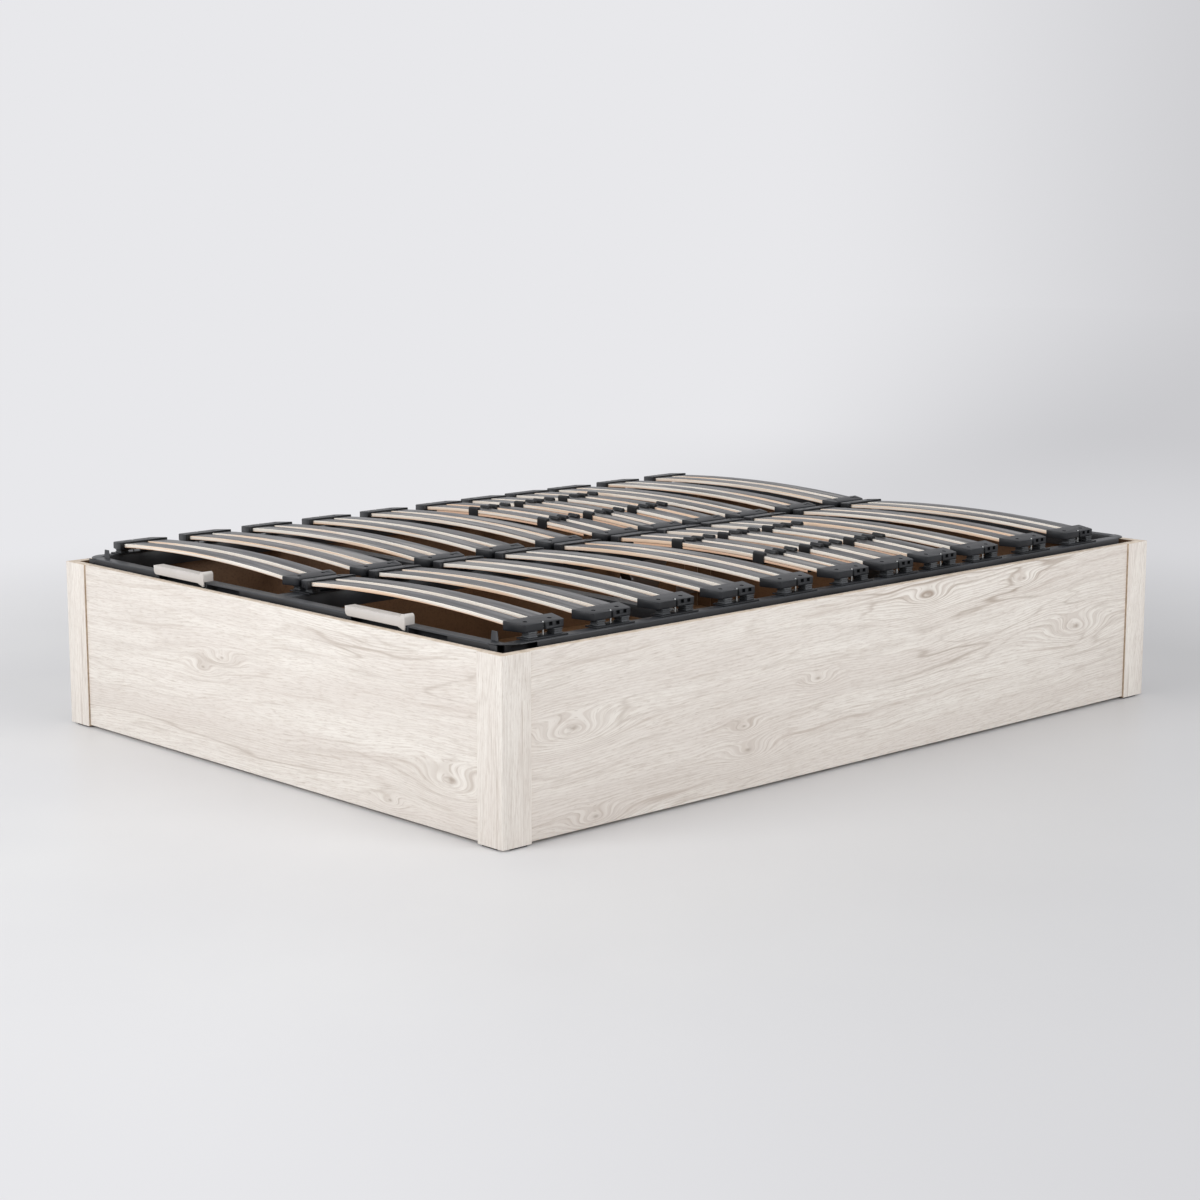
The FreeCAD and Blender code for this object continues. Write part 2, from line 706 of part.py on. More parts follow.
def band(name, outer, inner, width, left, right):
    """Part of a ring round the slat's arc centre on the origin, between two places across X."""
    rim = drum(f"{name}_rim", outer, width, "0", f"-({width}) / 2", "0", X_AXIS, -QUARTER_TURN)
    core = drum(f"{name}_core", inner, width, "0", f"-({width}) / 2", "0", X_AXIS, -QUARTER_TURN)
    ring = cut(f"{name}_ring", rim, core)
    deep = f"size.slat_rise + ({outer}) - ({inner}) + 2 * size.overrun"
    frame = block(f"{name}_frame", f"{right} - ({left})", f"{width} + 2 * size.overrun", deep, left,
                  f"-({width}) / 2 - size.overrun", f"({outer}) + size.overrun - ({deep})")
    return common(name, ring, frame)


def slat_places(pairs):
    for pair in pairs:
        for number, half in enumerate(("-", "+"), 1):
            yield f"{pair}_{number}", f"place.{pair} {half} place.slat_pitch / 2"


def make_slats():
    half = "place.slat_span / 2"
    slat = band("slat", "place.slat_radius + size.slat_wall / 2", "place.slat_radius - size.slat_wall / 2",
                "place.slat_width", f"-{half}", half)
    under_half = "place.under_length / 2"
    under = band("under_slat", "place.under_top", "place.under_top - size.under_wall",
                 "place.slat_width", f"-{under_half}", under_half)
    unders = []
    for side, sign in SIDES.items():
        x = f"{sign}place.row_x"
        slats = []
        for name, y in slat_places(PAIRS):
            slats.append(copy(f"{side}_slat_{name}", slat, x, y, "place.arc_z"))
        keep(group(f"{side}_slat_group", *slats), f"{side}_slats")
        for name, y in slat_places(DOUBLED_PAIRS):
            unders.append(copy(f"{side}_under_{name}", under, x, y, "place.arc_z"))
    keep(group("under_group", *unders), "lumbar_slats")


def cap_body(name, mouth, tip, back):
    """A holder's cap in plan, tapering from its mouth to its tip, before its top is sloped."""
    body = new_body(name)
    sketch = new_sketch(body, f"{name}_plan", "XY")
    ease = "size.cap_ease"
    half = [(mouth, "place.cap_length / 2"), (f"{tip} {back} {ease}", "place.cap_tip_length / 2"),
            (tip, f"place.cap_tip_length / 2 - {ease}")]
    add_outline(sketch, [(x, f"-({y})") for x, y in half] + half[::-1])
    pad(body, sketch, "size.slat_rise + size.slat_wall + 4 * size.cap_cover")
    return put(body, z="place.cap_low")


def slab(name, width, low, high, middle):
    """A straight slab along a slat, touching its arc at a middle place across X."""
    flat = centred(f"{name}_flat", "4 * size.cap_grip", width, f"{high} - ({low})", z=low)
    turn = f"asin(({middle} - place.row_x) / place.slat_radius)"
    return copy(name, flat, "place.row_x", "0", "place.arc_z", Y_AXIS, turn)


def trimmed_cap(name, body, left, right):
    """Slopes a cap's top along the slat and opens its two pockets between left and right."""
    middle = f"({left} + {right}) / 2"
    width = "place.cap_length + 2 * size.overrun"
    tall = "2 * size.cap_grip"
    top = "place.cap_top_radius"
    trimmed = common(f"{name}_trimmed", body, slab(f"{name}_roof", width, f"{top} - {tall}", top, middle))
    loose_width = "place.slat_width + 2 * size.slat_clear"
    bed = slab(f"{name}_bed", loose_width, "place.slot_core", "place.slot_radius", middle)
    room = block(f"{name}_room", f"{right} - ({left})", width, tall, left, f"-({width}) / 2", "place.cap_low")
    slot = common(f"{name}_slot", bed, room)
    for number, half in enumerate(("-", ""), 1):
        tool = copy(f"{name}_slot_{number}", slot, "0", f"{half}place.slat_pitch / 2")
        trimmed = cut(f"{name}_open_{number}", trimmed, tool)
    return trimmed


def make_caps():
    outer_plan = cap_body("outer_cap", "place.cap_in", "place.cap_tip", "-")
    outer = trimmed_cap("outer", outer_plan, "place.cap_in - size.overrun",
                        "place.slat_out + size.slat_clear")
    slit = centred("slit", "2 * size.slit_depth", "size.slit_width", "2 * size.slat_rise + size.slat_wall",
                   "place.cap_tip", "0", "place.cap_low - size.overrun")
    outer = cut("outer_slit", outer, slit)
    middle_plan = cap_body("middle_cap", "place.middle_cap_out", "size.middle_cap_gap", "+")
    middle = trimmed_cap("middle", middle_plan, "size.slat_middle_gap - size.slat_clear",
                         "place.middle_cap_out + size.overrun")
    for master, label in ((outer, "outer_holder_caps"), (middle, "middle_holder_caps")):
        caps = []
        for side, turn in (("right", 0), ("left", HALF_TURN)):
            for pair in PAIRS:
                caps.append(copy(f"{label}_{side}_{pair}", master, "0", f"place.{pair}", "0", Z_AXIS, turn))
        keep(group(f"{label}_group", *caps), label)


def make_holder_feet():
    """Base plates on the rails and the beam, and the rubber blocks that carry the caps."""
    plate = centred("outer_base", "size.base_width", "place.base_length", "size.base_wall")
    middle = centred("middle_base", "size.middle_base_width", "place.base_length", "size.base_wall")
    rubber = centred("rubber_block", "size.block_width", "place.block_length", "size.block_rise")
    plates = []
    blocks = []
    for pair in PAIRS:
        y = f"place.{pair}"
        plates.append(copy(f"middle_base_{pair}", middle, "0", y, "place.rail_top"))
        for side, sign in SIDES.items():
            x = f"{sign}(place.in_x - size.base_inset - size.base_width / 2)"
            plates.append(copy(f"{side}_base_{pair}", plate, x, y, "place.rail_top"))
            outs = (f"{sign}(place.in_x - size.block_inset - size.block_width / 2)",
                    f"{sign}size.middle_block_out")
            for out in outs:
                for half in ("-", "+"):
                    along = f"{y} {half} place.block_spread / 2"
                    blocks.append(copy(f"block_{len(blocks)}", rubber, out, along, "place.base_top"))
    keep(group("plate_group", *plates), "holder_bases")
    keep(group("block_group", *blocks), "spring_blocks")


def make_clips():
    """Sliding clips that grip a slat and the slat under it by their edges, two on each doubled slat."""
    clip = new_body("clip")
    sketch = new_sketch(clip, "clip_section", "YZ")
    top, floor, half = "place.clip_top", "place.clip_floor", "place.clip_half"
    out, lip, ease = f"{half} + size.clip_wall", f"{half} - size.clip_lip", "size.lobe_ease"
    crest = f"{top} + size.lobe_rise"
    side_points = [(half, floor), (half, top), (lip, top), (f"{lip} + {ease}", crest),
                   (f"{out} - {ease}", crest), (out, f"{crest} - {ease}"), (out, f"{floor} - size.clip_wall")]
    add_outline(sketch, side_points + [(f"-({y})", z) for y, z in side_points[::-1]])
    pad(clip, sketch, "size.clip_length", both_ways=True)
    for side, sign in SIDES.items():
        for place, way in (("outer", ""), ("inner", "-")):
            turn = f"{'' if sign == way else '-'}asin(place.clip_out / place.slat_radius)"
            for count, (pair, y) in enumerate(slat_places(DOUBLED_PAIRS), 1):
                name = f"{side}_{place}_clip_{count}"
                keep(copy(f"{name}_link", clip, f"{sign}place.row_x", y, "place.arc_z", Y_AXIS, turn), name)


def add_blade(sketch, nose):
    """The flat end of a strut round its stud, with cut corners at its nose, up or down."""
    half, ease = "size.blade_width / 2", "size.blade_ease"
    side = [(half, "-size.tube_start"), (half, f"{half} - {ease}"), (f"{half} - {ease}", half)]
    points = side + [(f"-({y})", z) for y, z in side[::-1]]
    add_outline(sketch, [(y, f"{nose}({z})") for y, z in points])


def make_strut(side):
    """A gas strut: a tube with its bore and lower blade, and a rod with its upper blade."""
    x = f"{SIDES[side]}place.strut_x"
    tilt = "size.strut_angle / 2"
    tube = new_body(f"{side}_tube")
    sketch = new_sketch(tube, f"{side}_tube_half", "XZ")
    start, out, top, floor = "size.tube_start", "size.tube_round / 2", "place.tube_top", "place.tube_floor"
    bore = "size.rod_round / 2 + size.rod_gap"
    add_outline(sketch, [("0", start), (out, start), (out, top), (bore, top), (bore, floor), ("0", floor)])
    revolve(tube, sketch)
    rod = new_body(f"{side}_piston_rod")
    half = new_sketch(rod, f"{side}_rod_half", "XZ")
    shank, foot, neck = "size.rod_round / 2", "-place.rod_drop", "-size.tube_start"
    add_outline(half, [("0", foot), (shank, foot), (shank, neck), ("0", neck)])
    revolve(rod, half)
    for body, nose in ((tube, "-"), (rod, "")):
        blade = new_sketch(body, f"{body.Name}_blade", "YZ")
        add_blade(blade, nose)
        pad(body, blade, "size.eye_wall", both_ways=True)
        hole = new_sketch(body, f"{body.Name}_eye_hole", "YZ")
        add_circle(hole, "0", "0", "size.stud_round + 2 * size.running_gap")
        pocket(body, hole, "size.tube_round + 2 * size.overrun")
    keep(put(tube, x, "place.strut_low_y", "place.strut_low_z", X_AXIS, tilt), f"{side}_strut_tube")
    keep(put(rod, x, "place.strut_top_y", "place.hinge_z", X_AXIS, tilt), f"{side}_strut_rod")


def check_and_write():
    doc.recompute()
    failed = [item.Label for item in doc.Objects if {"Invalid", "Error"} & set(item.State)]
    if failed:
        raise RuntimeError(f"failed objects: {failed}")
    os.makedirs("parts", exist_ok=True)
    shapes = {item.Label: Part.getShape(item) for item in parts}
    for label, shape in shapes.items():
        if shape.isNull() or not shape.isValid() or not shape.Solids:
            raise RuntimeError(f"no valid solid in {label}")
    for label, shape in shapes.items():
        shape.exportStep(os.path.join("parts", f"{label}.step"))
        print(label, len(shape.Solids), round(shape.Volume))


make_sheet("size", {alias: str(value) for alias, value in SIZES.items()})
make_sheet("place", {alias: f"={formula}" for alias, formula in PLACES.items()} | pair_places())
make_panels()
make_posts()
make_glides()
make_floor()
make_corner_brackets()
make_buffers()
make_end_rails()
make_frame_corners()
make_beams()
make_slats()
make_caps()
make_holder_feet()
make_clips()
for each_side in SIDES:
    make_lift_plate(each_side)
    make_side_rail(each_side)
    make_handle(each_side)
    make_strut(each_side)
check_and_write()
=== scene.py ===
import json
import math

import bpy
from mathutils import Matrix, Vector

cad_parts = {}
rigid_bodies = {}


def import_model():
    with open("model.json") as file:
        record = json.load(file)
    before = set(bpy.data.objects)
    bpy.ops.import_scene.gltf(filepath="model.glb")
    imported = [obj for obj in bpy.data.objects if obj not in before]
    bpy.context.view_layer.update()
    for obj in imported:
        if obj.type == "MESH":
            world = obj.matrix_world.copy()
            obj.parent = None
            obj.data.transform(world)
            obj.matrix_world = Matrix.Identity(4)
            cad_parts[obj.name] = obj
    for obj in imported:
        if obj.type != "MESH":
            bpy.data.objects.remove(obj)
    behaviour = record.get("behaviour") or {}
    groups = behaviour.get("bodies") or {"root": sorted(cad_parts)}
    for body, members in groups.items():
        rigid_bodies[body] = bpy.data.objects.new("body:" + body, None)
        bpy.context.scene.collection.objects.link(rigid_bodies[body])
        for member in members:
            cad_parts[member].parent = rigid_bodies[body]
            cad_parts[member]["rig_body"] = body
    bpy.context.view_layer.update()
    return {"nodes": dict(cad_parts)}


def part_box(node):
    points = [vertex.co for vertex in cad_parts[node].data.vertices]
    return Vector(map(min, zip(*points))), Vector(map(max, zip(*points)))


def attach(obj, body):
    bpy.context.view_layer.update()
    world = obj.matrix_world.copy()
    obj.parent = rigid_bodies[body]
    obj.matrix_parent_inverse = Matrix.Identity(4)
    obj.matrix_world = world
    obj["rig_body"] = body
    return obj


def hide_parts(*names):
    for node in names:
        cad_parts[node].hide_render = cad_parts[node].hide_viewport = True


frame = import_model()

# Looks of a storage bed base: white-washed oak box, anthracite lifting frame, film-wrapped slats.
# Metres, in the frame of the CAD: X across the bed, Y from foot to head, Z up.

MM = 0.001
QUARTER_TURN = math.pi / 2

# Copies of CAD meshes: points that become one, and the angles of flat, sharp and smooth edges.
MERGE = 0.02 * MM
FLAT = math.radians(0.4)
SHARP = math.radians(35)
SMOOTH = math.radians(40)

# Widths of rounded edges.
BOARD_EASE = 0.6 * MM
SLAT_EASE = 0.7 * MM
CAP_EASE = 1.2 * MM
BASE_EASE = 0.8 * MM
BLOCK_EASE = 0.5 * MM
PIN_EASE = 0.4 * MM
CLIP_EASE = 1.0 * MM
RAIL_EASE = 0.5 * MM
BEAM_EASE = 0.9 * MM
HANDLE_EASE = 0.8 * MM
FLOOR_BOARD_EASE = 0.3 * MM
BATTEN_EASE = 0.8 * MM
GLIDE_EASE = 0.4 * MM
PLATE_EASE = 0.4 * MM
BUFFER_EASE = 1.5 * MM
TUBE_EASE = 0.8 * MM
ROD_EASE = 0.5 * MM

# Slats and their holders. The cap's slope is its fall over its length.
SLAT_WALL = 8 * MM
SLAT_PITCH = 58 * MM
CAP_SLOPE = 0.086
DIMPLE_ROUND = 9 * MM
DIMPLE_DEPTH = 1.5 * MM
DIMPLE_INSET = 20 * MM
DIMPLE_SIDES = 16
CORE_SIZE = (12 * MM, 9 * MM, 7 * MM)
CORE_PLACES = (14 * MM, 31 * MM)
CORE_DROP = 6 * MM
BLOCK_LAYERS = 6
RIB_WAIST = 0.84
PIN_ROUND = 3 * MM
PIN_INSET = 5 * MM
PIN_SIDES = 10

# Screws. Their places are shares of a bracket's leg, and of a plate's length and height.
BRACKET_WALL = 2.5 * MM
BRACKET_SCREWS = (0.42, 0.82)
PLATE_WALL = 3 * MM
PLATE_SCREWS = ((0.40, 0.07), (0.25, 0.25), (0.55, 0.42), (0.83, 0.75))
SCREW_ROUND = 9 * MM
SCREW_RISE = 2.4 * MM
SCREW_SIDES = 14
SCREW_EASE = 0.45 * SCREW_RISE
SLOT_SIZE = (0.55 * SCREW_ROUND, 0.16 * SCREW_ROUND, SCREW_RISE)
SLOT_HEIGHT = 0.6 * SCREW_RISE

# Faces that take another finish: parts of a normal that count as facing, and a post's narrow ends.
FACING = 0.7
INWARD = 0.5
RETURN_AREA = 0.01
# The fourth finish, on a post's narrow ends, is painted shade at their joint with the panels.
BAND, BACK, RETURN_SHADE = 1, 2, 3
EDGE = 1

# Brushed metal: rates of its lines along and across them, and numbers of the axes they follow.
LINE_RATE = 8
CROSS_RATE = 700
ACROSS_BED, UPWARD = 0, 2

# Figure of the oak. Sizes round a knot are multiples of the knot's own size.
GRAIN_TILT = 0.05
GRAIN_WAVE = 0.06
RINGS_PER_METRE = 165
RING_WANDER = 4.2
KNOT_SQUEEZE = 0.4
KNOT_SPREAD = 3
KNOT_BEND = 1.1
LOOP_SPREAD = 1.7
LOOP_RISE = 1.6
EYE_SPREAD = 0.22
POST_SEED = 20.3
POST_SEED_STEP = 2.7

# Knots: place along the board, height above the floor and size.
FOOT_KNOTS = (
    (0.559, 0.104, 0.02),
    (0.381, 0.034, 0.009),
    (-0.143, 0.223, 0.012),
    (-0.209, 0.195, 0.01),
)
RIGHT_KNOTS = (
    (-0.13, 0.193, 0.011),
    (-0.338, 0.13, 0.009),
    (-0.327, 0.082, 0.014),
    (0.514, 0.316, 0.01),
    (0.199, 0.32, 0.014),
    (0.703, 0.189, 0.022),
    (-0.777, 0.196, 0.02),
    (-0.724, 0.024, 0.014),
)
HEAD_KNOTS = ((-0.25, 0.12, 0.016), (0.33, 0.26, 0.01))
LEFT_KNOTS = ((0.4, 0.1, 0.018), (-0.5, 0.24, 0.012), (0.05, 0.2, 0.009))

# Floor and backdrop, with painted shade that makes them grow dim towards the head and right of the
# bed. Falls run from a value with full light to one with the least.
FLOOR_RADIUS = 14
FLOOR_SIDES = 96
FADE = (1.4, 2.9)
BEYOND = (2.5, 6.0)
NEAR_FALL = (-0.65, 1.0)
NEAR_DIM = 0.6
FAR_FALL = (0.05, 0.36)
SKY_FALL = (0.03, 0.26)
DIAGONAL = math.sqrt(0.5)

# Lights: name, place and power.
LIGHTS = (
    ("key", (-0.9, -6.4, 3.4), 233),
    ("fill", (6.0, 0.7, 3.2), 164),
    ("top", (0.3, -0.2, 4.6), 25),
)
LIGHT_SIZE = 3.5
LIT_MIDDLE = Vector((0, 0, 0.2))
AMBIENT = 0.5

CAMERA_PLACE = (3.9803, -3.8005, 1.2258)
CAMERA_TILT = math.radians(90 - 10.144)
CAMERA_TURN = math.radians(46.775)
CAMERA_LENS = 77.13
FILM_WIDTH = 36


def tone(red, green, blue):
    """A colour of the sRGB scale from 0 to 255, as the linear colour that nodes take."""
    parts = [value / 255 for value in (red, green, blue)]
    linear = [p / 12.92 if p <= 0.04045 else ((p + 0.055) / 1.055) ** 2.4 for p in parts]
    return (*linear, 1.0)


WHITE = tone(255, 255, 255)
BACKDROP = tone(232, 232, 235)
# Painted shade: the dim tones that the backdrop and floor take towards the head and right of the
# bed.
DIM_BACKDROP = tone(202, 202, 205)
DIM_FLOOR = tone(196, 196, 198)


class Wire:
    """An output of a node that can be used in Python expressions."""

    def __init__(self, finish, output):
        self.finish = finish
        self.output = output

    def math(self, operation, *values):
        sockets = dict(enumerate((self, *values)))
        return self.finish.node("Math", {"operation": operation}, sockets)

    def __add__(self, other):
        return self.math("ADD", other)

    __radd__ = __add__

    def __mul__(self, other):
        return self.math("MULTIPLY", other)

    __rmul__ = __mul__

    def __sub__(self, other):
        return self.math("SUBTRACT", other)

    def __rsub__(self, other):
        return self * -1 + other

    def __truediv__(self, other):
        return self.math("DIVIDE", other)

    def __abs__(self):
        return self.math("ABSOLUTE")

    def root(self):
        return self.math("SQRT")

    def fraction(self):
        return self.math("FRACT")

    def bell(self, width):
        """1 where the value is zero, falling off to both sides."""
        return (self * self * (-1 / (width * width))).math("EXPONENT")

    def step(self, low, high):
        """A smooth step from 0 at the low value to 1 at the high one."""
        sockets = {0: self, 1: low, 2: high}
        return self.finish.node("MapRange", {"interpolation_type": "SMOOTHSTEP"}, sockets)


class Finish:
    """A procedural material, or the world's nodes, built up node by node."""

    def __init__(self, name, tree=None):
        if tree is None:
            self.material = bpy.data.materials.new(name)
            self.material.use_nodes = True
            tree = self.material.node_tree
        self.tree = tree
        self.tree.nodes.clear()

    def node(self, kind, settings, sockets, output=0):
        """A new node with its sockets set or linked, as a wire from one of its outputs."""
        made = self.tree.nodes.new(f"ShaderNode{kind}")
        for name, value in settings.items():
            setattr(made, name, value)
        for name, value in sockets.items():
            if isinstance(value, Wire):
                self.tree.links.new(value.output, made.inputs[name])
            else:
                made.inputs[name].default_value = value
        return Wire(self, made.outputs[output]) if made.outputs else None

    def place(self, kind="Object"):
        """The three coordinates of a point, or in the world those of a direction."""
        point = self.node("TexCoord", {}, {}, kind)
        return [self.node("SeparateXYZ", {}, {0: point}, letter) for letter in "XYZ"]

    def island(self):
        """A number from 0 to 1 that differs from piece to piece of a mesh."""
        return self.node("NewGeometry", {}, {}, "Random Per Island")

    def noise(self, x, y, z, scale=1.0, detail=2.0, roughness=0.5):
        vector = self.node("CombineXYZ", {}, {"X": x, "Y": y, "Z": z})
        sockets = {"Vector": vector, "Scale": scale, "Detail": detail, "Roughness": roughness}
        return self.node("TexNoise", {}, sockets)

    def blend(self, amount, first, second):
        sockets = {0: amount, 6: first, 7: second}
        return self.node("Mix", {"data_type": "RGBA"}, sockets, 2)

    def layered(self, colour, *layers):
        """A colour with others laid over it, each by its own amount."""
        for amount, other in layers:
            colour = self.blend(amount, colour, other)
        return colour

    def bump(self, height, depth):
        return self.node("Bump", {}, {"Height": height, "Strength": 1.0, "Distance": depth})

    def shader(self, **sockets):
        """The main shader, with its sockets named in small letters."""
        names = {name.replace("_", " ").title(): value for name, value in sockets.items()}
        values = {name.replace("Ior", "IOR"): value for name, value in names.items()}
        return self.node("BsdfPrincipled", {}, values)

    def close(self, shader, target="OutputMaterial"):
        self.node(target, {}, {"Surface": shader})
        return self


def bleached_oak(name, lay, seed, figure, knots):
    """White-washed oak. The lay turns a place into those along, across and into the board, and
    the figure is the contrast of its lines."""
    finish = Finish(name)
    along, across, depth = lay(*finish.place())
    flow = finish.noise(along * 1.7 + seed, across * 5, depth, detail=3.0) - 0.5
    grain = across - along * GRAIN_TILT + flow * GRAIN_WAVE
    swirl = 0
    eyes = 0
    for knot_along, knot_across, size in knots:
        run = (along - knot_along) * KNOT_SQUEEZE
        rise = across - knot_across
        near = (run * run + rise * rise).root()
        swell = near.bell(size * KNOT_SPREAD)
        grain = grain - (rise / size).math("TANH") * swell * (size * KNOT_BEND)
        grain = grain + near.bell(size * LOOP_SPREAD) * (size * LOOP_RISE)
        swirl = swell + swirl
        eyes = near.bell(size * EYE_SPREAD) + eyes

    def grained(run_rate, grain_rate, depth_rate, detail, roughness=0.5):
        """Noise drawn out along the grain, by rates along, across and into the board."""
        place = along * run_rate + seed, grain * grain_rate, depth * depth_rate
        return finish.noise(*place, detail=detail, roughness=roughness)

    wander = grained(3, 22, 1, 3.0) - 0.5
    zones = grained(1.4, 6, 1, 2.0).step(0.5, 0.7)
    level = grained(1.5, 15, 1, 2.0) - 0.5
    band = grained(1.2, 15, 1, 4.0, 0.55)
    mist = grained(5, 42, 40, 3.0, 0.6)
    fleck = grained(30, 430, 430, 3.0, 0.65)
    streak = grained(2.6, 85, 80, 4.0, 0.62)
    holes = finish.noise(along * 55, grain * 800 + seed, depth * 800, detail=1.0)
    pores = holes.step(0.58, 0.72)
    rings = (grain * RINGS_PER_METRE + wander * RING_WANDER).fraction()
    late_wood = rings.step(0.2, 0.9) * (1 - rings.step(0.9, 1.0))
    lines = late_wood * (zones * 0.45 + swirl * 0.42 + 0.3)
    contours = level.bell(0.012) + (level - 0.1).bell(0.01) * 0.7
    strokes = contours * (zones + swirl * 0.5 + 0.25)
    colour = finish.layered(
        finish.blend(band.step(0.34, 0.66), tone(231, 224, 217), tone(242, 237, 230)),
        (mist.step(0.45, 0.75) * 0.35, tone(213, 205, 197)),
        (fleck.step(0.46, 0.7) * 0.5, tone(204, 192, 181)),
        (streak.step(0.57, 0.72) * (0.5 * figure), tone(196, 183, 172)),
        (lines * (0.42 * figure), tone(188, 174, 163)),
        (strokes * (0.48 * figure), tone(172, 157, 144)),
        (pores * 0.35, tone(176, 162, 150)),
        (eyes * 0.6, tone(152, 135, 120)),
    )
    height = fleck * 0.6 - lines * 0.3 - pores * 0.6
    shader = finish.shader(
        base_color=colour,
        roughness=0.5 + fleck * 0.14,
        normal=finish.bump(height, 0.1 * MM),
        specular_ior_level=0.35,
    )
    return finish.close(shader)


def bare_wood(name, pale, dark):
    """A plain wooden edge or strip with a fine grain."""
    finish = Finish(name)
    x, y, z = finish.place()
    grain = finish.noise(x * 60, y * 60, z * 60, detail=3.0, roughness=0.6)
    shade = finish.blend(grain.step(0.35, 0.7), dark, pale)
    shader = finish.shader(base_color=shade, roughness=0.5 + grain * 0.15)
    return finish.close(shader)


def slat_film():
    """Dark grey film with a printed grain that runs along the slat."""
    finish = Finish("slat_film")
    x, y, _ = finish.place()
    own = finish.island() * 31
    broad = finish.noise(x * 3 + own, y * 46, own, detail=3.0, roughness=0.6)
    fine = finish.noise(x * 9 + own, y * 340, own, detail=2.0, roughness=0.6)
    cloud = finish.noise(x * 2.4 + own, y * 26, own, detail=3.0)
    colour = finish.layered(
        finish.blend(broad.step(0.38, 0.62), tone(34, 34, 37), tone(106, 105, 106)),
        (fine.step(0.46, 0.72) * 0.5, tone(28, 28, 30)),
        (cloud.step(0.52, 0.68) * 0.6, tone(160, 157, 154)),
    )
    shader = finish.shader(
        base_color=colour,
        roughness=0.26 + broad * 0.18,
        normal=finish.bump(fine, 0.05 * MM),
        specular_ior_level=0.25,
    )
    return finish.close(shader)


def slat_edge():
    """Pale beech layers with their glue lines, seen on the long edges of a slat. The layer runs
    from -0.5 on the underside to 0.5 on top, and the second slats of the lumbar pairs lie below."""
    finish = Finish("slat_edge")
    x, y, z = finish.place()
    own = finish.island() * 17
    low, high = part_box("right_slats")
    rise = high.z - low.z - SLAT_WALL
    radius = (high.x - low.x) ** 2 / (8 * rise) + rise / 2
    out = abs(x) - (low.x + high.x) / 2
    up = z - (high.z - SLAT_WALL / 2 - radius)
    layer = ((out * out + up * up).root() - radius) / SLAT_WALL
    grain = finish.noise(x * 14 + own, y * 40, layer * 7, detail=3.0, roughness=0.6)
    warm = finish.noise(x * 2.6 + own, own, layer, detail=1.0)
    glue = (layer - 0.18).bell(0.05) + (layer + 0.18).bell(0.05)
    under = 1 - layer.step(-0.46, -0.26)
    colour = finish.layered(
        finish.blend(warm.step(0.45, 0.7), tone(255, 250, 241), tone(250, 221, 194)),
        (grain.step(0.5, 0.8) * 0.3, tone(203, 168, 136)),
        (glue * 0.35, tone(176, 132, 98)),
        (under * 0.7, tone(226, 168, 122)),
    )
    shader = finish.shader(base_color=colour, roughness=0.55 + grain * 0.1)
    return finish.close(shader)


def moulded(name, dark, pale, grain=1400.0, roughness=0.42):
    """Satin moulded plastic, rubber or lacquer with a fine texture."""
    finish = Finish(name)
    x, y, z = finish.place()
    speck = finish.noise(x, y, z, scale=grain, detail=2.0, roughness=0.6)
    cloud = finish.noise(x, y, z, scale=22.0, detail=2.0)
    shade = finish.blend(cloud.step(0.3, 0.75) * 0.6 + speck * 0.2, dark, pale)
    shader = finish.shader(
        base_color=shade,
        roughness=roughness + speck * 0.18,
        normal=finish.bump(speck, 0.04 * MM),
        specular_ior_level=0.32,
    )
    return finish.close(shader)


def powder_coat():
    """Satin anthracite powder coat with its fine orange peel."""
    finish = Finish("anthracite_coat")
    x, y, z = finish.place()
    peel = finish.noise(x, y, z, scale=620.0, detail=2.0, roughness=0.55)
    cloud = finish.noise(x, y, z, scale=7.0, detail=3.0)
    colour = finish.blend(cloud.step(0.3, 0.7), tone(34, 36, 40), tone(52, 54, 58))
    shader = finish.shader(
        base_color=colour,
        roughness=0.3 + peel * 0.2,
        normal=finish.bump(peel, 0.06 * MM),
        specular_ior_level=0.5,
    )
    return finish.close(shader)


def brushed(name, dark, pale, along, roughness):
    """Bright metal with fine lines along one axis, given by its number."""
    finish = Finish(name)
    place = finish.place()
    rates = [LINE_RATE if number == along else CROSS_RATE for number in range(3)]
    drawn = [value * rate for value, rate in zip(place, rates)]
    line = finish.noise(*drawn, detail=2.0, roughness=0.6)
    cloud = finish.noise(*place, scale=30.0, detail=2.0)
    shade = finish.blend(line * 0.6 + cloud * 0.4, dark, pale)
    shader = finish.shader(
        base_color=shade,
        roughness=roughness + line * 0.15,
        metallic=1.0,
        normal=finish.bump(line, 0.02 * MM),
    )
    return finish.close(shader)


def hardboard(name, dark, pale):
    """Smooth brown hardboard with pressed fibres."""
    finish = Finish(name)
    x, y, z = finish.place()
    fibre = finish.noise(x * 240, y * 170, z * 200, detail=4.0, roughness=0.65)
    cloud = finish.noise(x, y, z, scale=3.0, detail=3.0)
    colour = finish.layered(
        finish.blend(cloud.step(0.3, 0.7), dark, pale),
        (fibre.step(0.45, 0.75) * 0.4, tone(66, 43, 27)),
    )
    shader = finish.shader(
        base_color=colour,
        roughness=0.55 + fibre * 0.2,
        normal=finish.bump(fibre, 0.08 * MM),
    )
    return finish.close(shader)


def select_only(piece):
    bpy.ops.object.select_all(action="DESELECT")
    piece.select_set(True)
    bpy.context.view_layer.objects.active = piece


def apply_modifier(piece, kind, **settings):
    select_only(piece)
    modifier = piece.modifiers.new(kind.lower(), kind)
    for name, value in settings.items():
        setattr(modifier, name, value)
    bpy.ops.object.modifier_apply(modifier=modifier.name)


def round_edges(piece, ease, steps):
    apply_modifier(
        piece, "BEVEL", width=ease, segments=steps, limit_method="ANGLE", angle_limit=SHARP
    )


